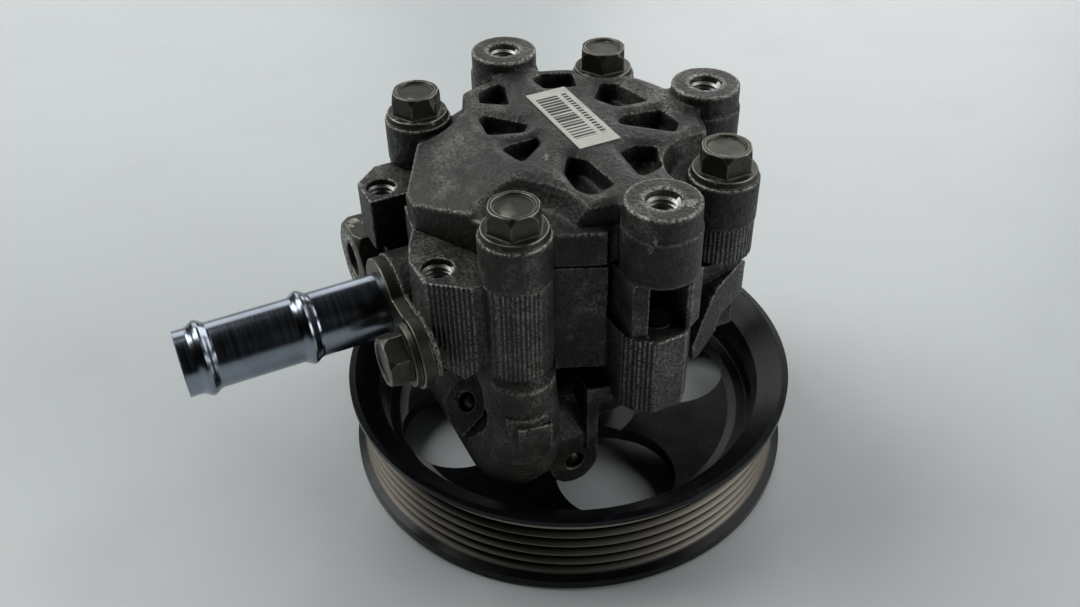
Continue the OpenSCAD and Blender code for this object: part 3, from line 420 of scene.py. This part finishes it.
def bright_zinc_steel():
    """Drawn tube under fresh bluish zinc: mirror-like, with faint rings left by the turning of the beads."""
    material, tree = new_material("bright_zinc_steel")
    at = add(tree, "ShaderNodeTexCoord").outputs["Object"]
    along = add(tree, "ShaderNodeMapping", {"Vector": at, "Scale": (1, 0.04, 0.04)})
    rings = add(tree, "ShaderNodeTexNoise", {"Vector": along.outputs[0], "Scale": per(0.6), "Detail": 3})
    haze = add(tree, "ShaderNodeTexNoise", {"Vector": at, "Scale": per(7), "Detail": 5})
    dull = add(tree, "ShaderNodeMapRange",
               {"Value": haze.outputs["Fac"], "From Min": 0.45, "From Max": 0.75, "To Max": 0.6})
    zinc = add(tree, "ShaderNodeMix",
               {"Factor": dull.outputs[0], MIX_A: bpy.context.scene.pump_hardware.bright,
                MIX_B: linear("#737a82")}, data_type="RGBA")
    rough = add(tree, "ShaderNodeMapRange", {"Value": rings.outputs["Fac"], "To Min": 0.14, "To Max": 0.3})
    bump = add(tree, "ShaderNodeBump",
               {"Height": rings.outputs["Fac"], "Strength": 0.08, "Distance": 0.05 * MM})
    shader = add(tree, "ShaderNodeBsdfPrincipled", {
        "Base Color": zinc.outputs[MIXED], "Metallic": 1.0, "Roughness": rough.outputs[0],
        "Normal": bump.outputs[0]})
    show(tree, shader)
    return material


def black_coated_steel():
    """Gloss black dip coat over pressed steel, dusted grey, with the belt face brownish metal from wear that
    brightens towards the ridge tips, and painted shade in the valleys between the ridges.
    """
    material, tree = new_material("black_coated_steel")
    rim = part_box("pulley")[1].x
    belt_low, belt_high = 4.2 * MM, 25 * MM
    belt_r, groove_r, ridge_r = rim - 5.6 * MM, rim - 3.9 * MM, rim - 2.4 * MM
    fade = 0.4 * MM
    at = add(tree, "ShaderNodeTexCoord").outputs["Object"]
    split = add(tree, "ShaderNodeSeparateXYZ", {0: at})
    flat = add(tree, "ShaderNodeCombineXYZ", {0: split.outputs[0], 1: split.outputs[1]})
    radius = add(tree, "ShaderNodeVectorMath", {0: flat.outputs[0]}, operation="LENGTH")
    dust = add(tree, "ShaderNodeTexNoise", {"Vector": at, "Scale": per(9), "Detail": 7, "Roughness": 0.7})
    speck = add(tree, "ShaderNodeTexNoise", {"Vector": at, "Scale": per(0.8), "Detail": 3})
    outside = add(tree, "ShaderNodeMapRange",
                  {"Value": radius.outputs["Value"], "From Min": belt_r, "From Max": belt_r + fade})
    above = add(tree, "ShaderNodeMapRange",
                {"Value": split.outputs[2], "From Min": belt_low, "From Max": belt_low + fade})
    below = add(tree, "ShaderNodeMapRange",
                {"Value": split.outputs[2], "From Min": belt_high, "From Max": belt_high - 2 * fade})
    band = add(tree, "ShaderNodeMath", {0: above.outputs[0], 1: below.outputs[0]}, operation="MULTIPLY")
    belt = add(tree, "ShaderNodeMath", {0: band.outputs[0], 1: outside.outputs[0]}, operation="MULTIPLY")
    # Painted shade: the valleys of the belt face are painted near black (#0f0e0d), shading up to brownish
    # metal (#928d82) at the ridge tips.
    ridge = add(tree, "ShaderNodeMapRange",
                {"Value": radius.outputs["Value"], "From Min": groove_r, "From Max": ridge_r})
    groove_shade_and_wear = add(tree, "ShaderNodeMix",
                 {"Factor": ridge.outputs[0], MIX_A: linear("#0f0e0d"), MIX_B: linear("#928d82")},
                 data_type="RGBA")
    grey = add(tree, "ShaderNodeMapRange",
               {"Value": dust.outputs["Fac"], "From Min": 0.5, "From Max": 0.8, "To Max": 0.22})
    coat = add(tree, "ShaderNodeMix",
               {"Factor": grey.outputs[0], MIX_A: bpy.context.scene.pump_hardware.coat,
                MIX_B: linear("#3a3d40")},
               data_type="RGBA")
    colour = add(tree, "ShaderNodeMix",
                 {"Factor": belt.outputs[0], MIX_A: coat.outputs[MIXED], MIX_B: groove_shade_and_wear.outputs[MIXED]},
                 data_type="RGBA")
    metal = add(tree, "ShaderNodeMath", {0: belt.outputs[0], 1: 0.75}, operation="MULTIPLY")
    gloss = add(tree, "ShaderNodeMapRange", {"Value": dust.outputs["Fac"], "To Min": 0.12, "To Max": 0.34})
    rough = add(tree, "ShaderNodeMix", {"Factor": belt.outputs[0], 2: gloss.outputs[0], 3: 0.45})
    soft = add(tree, "ShaderNodeBevel", {"Radius": 0.5 * MM}, samples=4)
    bump = add(tree, "ShaderNodeBump",
               {"Height": speck.outputs["Fac"], "Strength": 0.1, "Distance": 0.1 * MM,
                "Normal": soft.outputs[0]})
    shader = add(tree, "ShaderNodeBsdfPrincipled", {
        "Base Color": colour.outputs[MIXED], "Metallic": metal.outputs[0], "Roughness": rough.outputs[0],
        "IOR": 1.26, "Normal": bump.outputs[0]})
    show(tree, shader)
    return material


def plain_metal(name, colour, grain_mm, low_rough, high_rough, metallic=1.0):
    """Machined metal: even colour with fine tool marks, less mirror-like where a film of oil lies on it."""
    material, tree = new_material(name)
    at = add(tree, "ShaderNodeTexCoord").outputs["Object"]
    marks = add(tree, "ShaderNodeTexNoise", {"Vector": at, "Scale": per(grain_mm), "Detail": 4})
    tint = add(tree, "ShaderNodeMapRange", {"Value": marks.outputs["Fac"], "To Min": 0.0, "To Max": 0.35})
    shade = [0.6 * part for part in colour[:3]] + [1.0]
    mixed = add(tree, "ShaderNodeMix", {"Factor": tint.outputs[0], MIX_A: colour, MIX_B: shade},
                data_type="RGBA")
    rough = add(tree, "ShaderNodeMapRange",
                {"Value": marks.outputs["Fac"], "To Min": low_rough, "To Max": high_rough})
    bump = add(tree, "ShaderNodeBump",
               {"Height": marks.outputs["Fac"], "Strength": 0.1, "Distance": 0.05 * MM})
    shader = add(tree, "ShaderNodeBsdfPrincipled", {
        "Base Color": mixed.outputs[MIXED], "Metallic": metallic, "Roughness": rough.outputs[0],
        "Normal": bump.outputs[0]})
    show(tree, shader)
    return material


def nitrile_rubber():
    """Moulded nitrile seal: matt black with a faint bloom."""
    material, tree = new_material("nitrile_rubber")
    at = add(tree, "ShaderNodeTexCoord").outputs["Object"]
    bloom = add(tree, "ShaderNodeTexNoise", {"Vector": at, "Scale": per(2), "Detail": 4})
    colour = add(tree, "ShaderNodeMix",
                 {"Factor": bloom.outputs["Fac"], MIX_A: linear("#121212"), MIX_B: linear("#232322")},
                 data_type="RGBA")
    bump = add(tree, "ShaderNodeBump",
               {"Height": bloom.outputs["Fac"], "Strength": 0.1, "Distance": 0.1 * MM})
    shader = add(tree, "ShaderNodeBsdfPrincipled", {
        "Base Color": colour.outputs[MIXED], "Roughness": 0.62, "IOR": 1.52, "Normal": bump.outputs[0]})
    show(tree, shader)
    return material


def printed_label_film():
    """Matt white film, a little soiled, with a block of plain printed bars and a row of plain dashes."""
    material, tree = new_material("printed_label_film")
    low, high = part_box("cover_label")
    period = 1.45 * MM
    bar_span = (low.x + 1.2 * MM, low.x + 7.4 * MM)
    dash_span = (low.x + 8.7 * MM, low.x + 10.2 * MM)
    print_span = (low.y + 4.5 * MM, high.y - 3.5 * MM)
    dash_share = 0.62
    at = add(tree, "ShaderNodeTexCoord").outputs["Object"]
    split = add(tree, "ShaderNodeSeparateXYZ", {0: at})
    step = add(tree, "ShaderNodeMath", {0: split.outputs[1], 1: period}, operation="DIVIDE")
    cell = add(tree, "ShaderNodeMath", {0: step.outputs[0]}, operation="FLOOR")
    within = add(tree, "ShaderNodeMath", {0: step.outputs[0]}, operation="FRACT")
    chance = add(tree, "ShaderNodeTexWhiteNoise", {"W": cell.outputs[0]}, noise_dimensions="1D")
    wide = add(tree, "ShaderNodeMapRange", {"Value": chance.outputs["Value"], "To Min": 0.4, "To Max": 0.85})
    bar = add(tree, "ShaderNodeMath", {0: within.outputs[0], 1: wide.outputs[0]}, operation="LESS_THAN")
    dash = add(tree, "ShaderNodeMath", {0: within.outputs[0], 1: dash_share}, operation="LESS_THAN")
    spans = []
    for axis, (first, last) in ((0, bar_span), (0, dash_span), (1, print_span)):
        after = add(tree, "ShaderNodeMath", {0: split.outputs[axis], 1: first}, operation="GREATER_THAN")
        before = add(tree, "ShaderNodeMath", {0: split.outputs[axis], 1: last}, operation="LESS_THAN")
        spans.append(add(tree, "ShaderNodeMath", {0: after.outputs[0], 1: before.outputs[0]},
                         operation="MULTIPLY"))
    bars = add(tree, "ShaderNodeMath", {0: spans[0].outputs[0], 1: bar.outputs[0]}, operation="MULTIPLY")
    dashes = add(tree, "ShaderNodeMath", {0: spans[1].outputs[0], 1: dash.outputs[0]}, operation="MULTIPLY")
    marks = add(tree, "ShaderNodeMath", {0: bars.outputs[0], 1: dashes.outputs[0]}, operation="MAXIMUM")
    ink = add(tree, "ShaderNodeMath", {0: marks.outputs[0], 1: spans[2].outputs[0]}, operation="MULTIPLY")
    soil = add(tree, "ShaderNodeTexNoise", {"Vector": at, "Scale": per(5), "Detail": 5})
    grime = add(tree, "ShaderNodeMapRange",
                {"Value": soil.outputs["Fac"], "From Min": 0.45, "From Max": 0.8, "To Max": 0.45})
    paper = add(tree, "ShaderNodeMix",
                {"Factor": grime.outputs[0], MIX_A: linear("#c4c3ba"), MIX_B: linear("#7f7c72")},
                data_type="RGBA")
    colour = add(tree, "ShaderNodeMix",
                 {"Factor": ink.outputs[0], MIX_A: paper.outputs[MIXED], MIX_B: linear("#191918")},
                 data_type="RGBA")
    shader = add(tree, "ShaderNodeBsdfPrincipled", {
        "Base Color": colour.outputs[MIXED], "Roughness": 0.48, "IOR": 1.5})
    show(tree, shader)
    return material


def table_top(colour):
    """Painted white table, faintly smudged by use."""
    material, tree = new_material("painted_table")
    at = add(tree, "ShaderNodeTexCoord").outputs["Object"]
    smudge = add(tree, "ShaderNodeTexNoise", {"Vector": at, "Scale": per(60), "Detail": 6, "Roughness": 0.6})
    faint = add(tree, "ShaderNodeMapRange",
                {"Value": smudge.outputs["Fac"], "From Min": 0.5, "From Max": 0.8, "To Max": 0.3})
    mixed = add(tree, "ShaderNodeMix", {"Factor": faint.outputs[0], MIX_A: colour, MIX_B: linear("#b3b8b9")},
                data_type="RGBA")
    shader = add(tree, "ShaderNodeBsdfPrincipled", {
        "Base Color": mixed.outputs[MIXED], "Roughness": 0.38, "IOR": 1.48})
    show(tree, shader)
    return material


class PUMP_OT_finishes(bpy.types.Operator):
    """Make the materials and give each CAD node its own"""

    bl_idname = "pump.finishes"
    bl_label = "Finishes"

    def execute(self, context):
        hardware = context.scene.pump_hardware
        finish = {
            "cast_aluminium": aged_cast_aluminium(),
            "zinc_plated_steel": aged_zinc_steel("aged_zinc_steel", hardware.zinc, linear("#35322b")),
            "bright_zinc_steel": bright_zinc_steel(),
            "black_coated_steel": black_coated_steel(),
            "ground_steel": plain_metal("ground_steel", linear("#b4b5b8"), 0.6, 0.2, 0.38),
            "sintered_iron": plain_metal("sintered_iron", linear("#7d7e80"), 0.9, 0.4, 0.6),
            "nitrile_rubber": nitrile_rubber(),
            "bronze": plain_metal("sintered_bronze", linear("#6f5738"), 0.7, 0.35, 0.55),
            "label_film": printed_label_film(),
        }
        plugs = plain_metal("oiled_steel", linear("#5c554a"), 0.8, 0.4, 0.6)
        for name, node in frame["nodes"].items():
            node.data.materials.clear()
            node.data.materials.append(plugs if name == "passage_plugs" else finish[SLOT_OF[name]])
        return {"FINISHED"}


def finish_of(node):
    """The material that a CAD node carries."""
    return frame["nodes"][node].data.materials[0]


def cover_softness(at):
    """Full on the ribs between the pockets, little on machined faces, bores and under the label."""
    low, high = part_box("rear_cover")
    label_low, label_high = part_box("cover_label")
    rib_low, rib_high, rib_reach = high.z - 10 * MM, high.z - 2.5 * MM, 38 * MM
    boss_r, mouth_r, seat_r = 9.8 * MM, 6.2 * MM, 9.5 * MM
    x, y, z = at.T
    ribs = (z > rib_low) & (z < rib_high) & (np.hypot(x, y) < rib_reach)
    share = np.where(ribs, 1.0, 0.3)
    for name in BOSSES:
        boss_x, boss_y, _ = MOUNTS[name]["pos_m"]
        reach = np.hypot(x - boss_x, y - boss_y)
        share[reach < boss_r] = 0.12
        share[reach < mouth_r] = 0.03
    for bolt_x, bolt_y in BOLT_AXES:
        share[np.hypot(x - bolt_x, y - bolt_y) < seat_r] = 0.2
    label = (x > label_low.x) & (x < label_high.x) & (y > label_low.y) & (y < label_high.y)
    share[label & (z > label_low.z - 0.6 * MM)] = 0.05
    share[(z > high.z - 0.5 * MM) | (z < low.z + 0.4 * MM)] = 0.05
    return share


def cover_form(at):
    """Rolls the plateau's edges down into its pockets and draws the mouths of the boss holes in."""
    label_low, label_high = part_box("cover_label")
    plateau = label_low.z
    pocket_low, pocket_high, pocket_reach = plateau - 6 * MM, plateau - 0.7 * MM, 37 * MM
    ramp_x = -19.5 * MM
    boss_r, mouth_r, bore_r, narrowing = 10.5 * MM, 5.3 * MM, 4.1 * MM, 0.3
    roll, roll_width = 1.6 * MM, 2.6 * MM
    x, y, z = at.T
    top = np.abs(z - plateau) < 0.3 * MM
    top &= (x < label_low.x) | (x > label_high.x) | (y < label_low.y) | (y > label_high.y)
    wall = (z > pocket_low) & (z < pocket_high) & (np.hypot(x, y) < pocket_reach) & (x > ramp_x)
    for name in BOSSES:
        boss_x, boss_y, _ = MOUNTS[name]["pos_m"]
        reach = np.hypot(x - boss_x, y - boss_y)
        wall &= reach > boss_r
        mouth = (reach < mouth_r) & (reach > bore_r) & (z > plateau + 1 * MM)
        closer = (bore_r + narrowing * (reach[mouth] - bore_r)) / reach[mouth]
        x[mouth] = boss_x + (x[mouth] - boss_x) * closer
        y[mouth] = boss_y + (y[mouth] - boss_y) * closer
    walls = np.flatnonzero(wall)
    tree = KDTree(len(walls))
    for i in walls:
        tree.insert((x[i], y[i], 0), i)
    tree.balance()
    for i in np.flatnonzero(top):
        near = tree.find((x[i], y[i], 0))[2]
        z[i] -= roll * max(0, 1 - near / roll_width) ** 2
    return at


def housing_softness(at):
    """Little on the joint face and on the fluted walls of the near side, full elsewhere."""
    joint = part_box("rear_cover")[0].z
    flute_y, flute_length = -24 * MM, 40 * MM
    x, y, z = at.T
    flutes = (y < flute_y) & (z > joint - flute_length)
    return np.where(flutes | (z > joint - 0.3 * MM), 0.1, 1.0)


def rise(value, start, end):
    """Goes smoothly from 0 at start to 1 at end."""
    t = np.clip((value - start) / (end - start), 0, 1)
    return t * t * (3 - 2 * t)


def housing_form(at):
    """Swells the barrel's end out under the fluted column, and raises the cast pad on it."""
    barrel_x, swell, pad_height = -31.5 * MM, 2.2 * MM, 0.7 * MM
    pad_x, pad_z, pad_half_width, pad_half_height = -32.4 * MM, 45.2 * MM, 5.2 * MM, 7.2 * MM
    x, y, z = at.T
    front = y < -33 * MM
    across = 1 - rise(np.abs(x - barrel_x), 8 * MM, 13 * MM)
    upright = (1 - rise(z, 59 * MM, 61.2 * MM)) * rise(z, 34 * MM, 47 * MM)
    pad = (np.abs(x - pad_x) < pad_half_width) & (np.abs(z - pad_z) < pad_half_height)
    y[front] -= (swell * across * upright + pad_height * pad)[front]
    return at


def cast_block(corners, low, high):
    """An upright block on the given corners, in millimetres, that the housing's skin takes in."""
    deselect()
    bpy.ops.mesh.primitive_circle_add(vertices=len(corners), fill_type="NGON")
    block = bpy.context.object
    outline = np.array([(x, y, low) for x, y in corners], np.float32) * MM
    block.data.vertices.foreach_set("co", outline.ravel())
    bpy.ops.object.mode_set(mode="EDIT")
    bpy.ops.mesh.select_all(action="SELECT")
    bpy.ops.mesh.extrude_region_move(TRANSFORM_OT_translate={"value": (0, 0, (high - low) * MM)})
    bpy.ops.mesh.select_all(action="SELECT")
    bpy.ops.mesh.normals_make_consistent(inside=False)
    bpy.ops.object.mode_set(mode="OBJECT")
    return block


class PUMP_OT_castings(bpy.types.Operator):
    """Lay the housing and the cover onto a fine grid and round their edges as a casting's are"""

    bl_idname = "pump.castings"
    bl_label = "Castings"

    def execute(self, context):
        cast = context.scene.pump_cast
        coarse = 1
        cover = rounded(copy_of("rear_cover", "cast_cover"), cast.cover_voxel * coarse, cast.cover_rounding,
                        cast.faces, cover_softness, cover_form)
        settle(cover, BODY, "cast_aluminium", finish_of("rear_cover"), "rear_cover")
        body = copy_of("front_housing", "cast_housing")
        whole = join([body, cast_block(*HOOK), cast_block(*SHELF)], "cast_housing")
        housing = rounded(whole, cast.housing_voxel * coarse, cast.housing_rounding, cast.faces,
                          housing_softness, housing_form)
        settle(housing, BODY, "cast_aluminium", finish_of("front_housing"), "front_housing")
        return {"FINISHED"}


class PUMP_OT_hardware(bpy.types.Operator):
    """Round the corners of the bolts, the flange plate, the outlet union and the valve's plug"""

    bl_idname = "pump.hardware"
    bl_label = "Bolts and plates"

    def execute(self, context):
        hardware = context.scene.pump_hardware
        coarse = 1
        for node, name, passes in ROUNDED_PARTS:
            piece = rounded(copy_of(node, name), hardware.bolt_voxel * coarse, passes, hardware.faces)
            settle(piece, BODY, SLOT_OF[node], finish_of(node), node)
        return {"FINISHED"}


def thread_in(centre, axis, radius, length):
    """Winds one thread on the wall of a hole."""
    hardware = bpy.context.scene.pump_hardware
    pitch = hardware.thread_pitch
    turns = int(length / pitch)
    root_r, crest_r, half_width = radius + 0.05 * MM, radius - hardware.thread_depth, pitch / 2.2
    section = np.array([(crest_r, 0, 0), (root_r, 0, -half_width), (root_r, 0, half_width)], np.float32)
    deselect()
    bpy.ops.mesh.primitive_circle_add(vertices=len(section))
    coil = bpy.context.object
    coil.data.vertices.foreach_set("co", section.ravel())
    apply_modifier(coil, "SCREW", axis="Z", angle=math.tau, screw_offset=pitch, iterations=turns,
                   steps=THREAD_STEPS, render_steps=THREAD_STEPS, use_smooth_shade=False)
    bpy.ops.object.mode_set(mode="EDIT")
    bpy.ops.mesh.select_all(action="SELECT")
    bpy.ops.mesh.remove_doubles(threshold=1e-7)
    bpy.ops.mesh.fill_holes(sides=len(section))
    bpy.ops.mesh.normals_make_consistent(inside=False)
    bpy.ops.object.mode_set(mode="OBJECT")
    turn = Vector((0, 0, 1)).rotation_difference(Vector(axis)).to_matrix().to_4x4()
    start = Vector(centre) - Vector(axis) * (turns * pitch / 2)
    coil.data.transform(Matrix.Translation(start) @ turn)
    coil.data.update()
    return coil


class PUMP_OT_threads(bpy.types.Operator):
    """Cut the threads that show in the mounting holes"""

    bl_idname = "pump.threads"
    bl_label = "Threads"

    def execute(self, context):
        coils = []
        for mount in MOUNTS.values():
            if mount["kind"] == "threaded_hole" and mount["name"] != "outlet_port":
                size = mount["dims"]
                coils.append(thread_in(mount["pos_m"], mount["axis"],
                                       size["r_mm"] * MM, size["length_mm"] * MM))
        pair = MOUNTS["side_post_pair"]
        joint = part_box("rear_cover")[0].z
        length = 2 * (joint - pair["pos_m"][2])
        radius, spacing = pair["dims"]["hole_r_mm"] * MM, pair["dims"]["spacing_y_mm"] * MM
        sunk = 1 * MM
        for side in (-0.5, 0.5):
            centre = Vector(pair["pos_m"]) + Vector((0, side * spacing, -sunk))
            coils.append(thread_in(centre, pair["axis"], radius, length))
        threads = join(coils, "cut_threads")
        settle(threads, BODY, "cast_aluminium",
               plain_metal("machined_aluminium", linear("#b4b6b1"), 0.5, 0.3, 0.45, 0.5))
        return {"FINISHED"}


class PUMP_OT_stage(bpy.types.Operator):
    """Lay the pale table, hang the soft lamps and set the camera at the photograph's place"""

    bl_idname = "pump.stage"
    bl_label = "Table, light and camera"

    def execute(self, context):
        scene = context.scene
        stage = scene.pump_stage
        deselect()
        bpy.ops.mesh.primitive_plane_add(size=TABLE_SIZE, location=(0, 0, 0))
        table = context.object
        table.name = "table"
        table.data.materials.append(table_top(stage.table))
        for name, (azimuth, elevation, width) in LAMPS.items():
            turn = Euler((0, math.radians(90 - elevation), math.radians(azimuth)))
            at = turn.to_matrix() @ Vector((0, 0, LAMP_DISTANCE))
            bpy.ops.object.light_add(type="AREA", location=at, rotation=turn)
            lamp = context.object
            lamp.name = name
            lamp.data.size = width
            lamp.data.energy = getattr(stage, name + "_power")
        world = bpy.data.worlds.new("studio")
        world.use_nodes = True
        world.node_tree.nodes["Background"].inputs["Strength"].default_value = 0
        scene.world = world
        bpy.ops.object.camera_add(location=CAMERA_AT, rotation=Euler(map(math.radians, CAMERA_TURN)))
        camera = context.object
        camera.data.lens = CAMERA_LENS
        camera.data.shift_x, camera.data.shift_y = CAMERA_SHIFT
        camera.data.clip_start = 0.01
        scene.camera = camera
        scene.view_settings.view_transform = "Standard"
        return {"FINISHED"}


class PUMP_PT_panel(bpy.types.Panel):
    """Lists the pump's settings and its operators"""

    bl_idname = "PUMP_PT_panel"
    bl_label = "Power steering pump"
    bl_space_type = "VIEW_3D"
    bl_region_type = "UI"
    bl_category = "Pump"

    def draw(self, context):
        for group in (context.scene.pump_cast, context.scene.pump_hardware, context.scene.pump_stage):
            for name in group.__annotations__:
                self.layout.prop(group, name)
        for operator in OPERATORS:
            self.layout.operator(operator.bl_idname)


GROUPS = {"pump_cast": CastSettings, "pump_hardware": HardwareSettings, "pump_stage": StageSettings}
OPERATORS = (PUMP_OT_finishes, PUMP_OT_castings, PUMP_OT_hardware, PUMP_OT_threads, PUMP_OT_stage)


def register():
    for name, group in GROUPS.items():
        bpy.utils.register_class(group)
        setattr(bpy.types.Scene, name, bpy.props.PointerProperty(type=group))
    for operator in OPERATORS:
        bpy.utils.register_class(operator)
    bpy.utils.register_class(PUMP_PT_panel)


def unregister():
    bpy.utils.unregister_class(PUMP_PT_panel)
    for operator in reversed(OPERATORS):
        bpy.utils.unregister_class(operator)
    for name, group in GROUPS.items():
        delattr(bpy.types.Scene, name)
        bpy.utils.unregister_class(group)


def main():
    """Registers the add-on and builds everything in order."""
    register()
    bpy.ops.pump.finishes()
    bpy.ops.pump.castings()
    bpy.ops.pump.hardware()
    bpy.ops.pump.threads()
    bpy.ops.pump.stage()


if __name__ == "__main__":
    main()
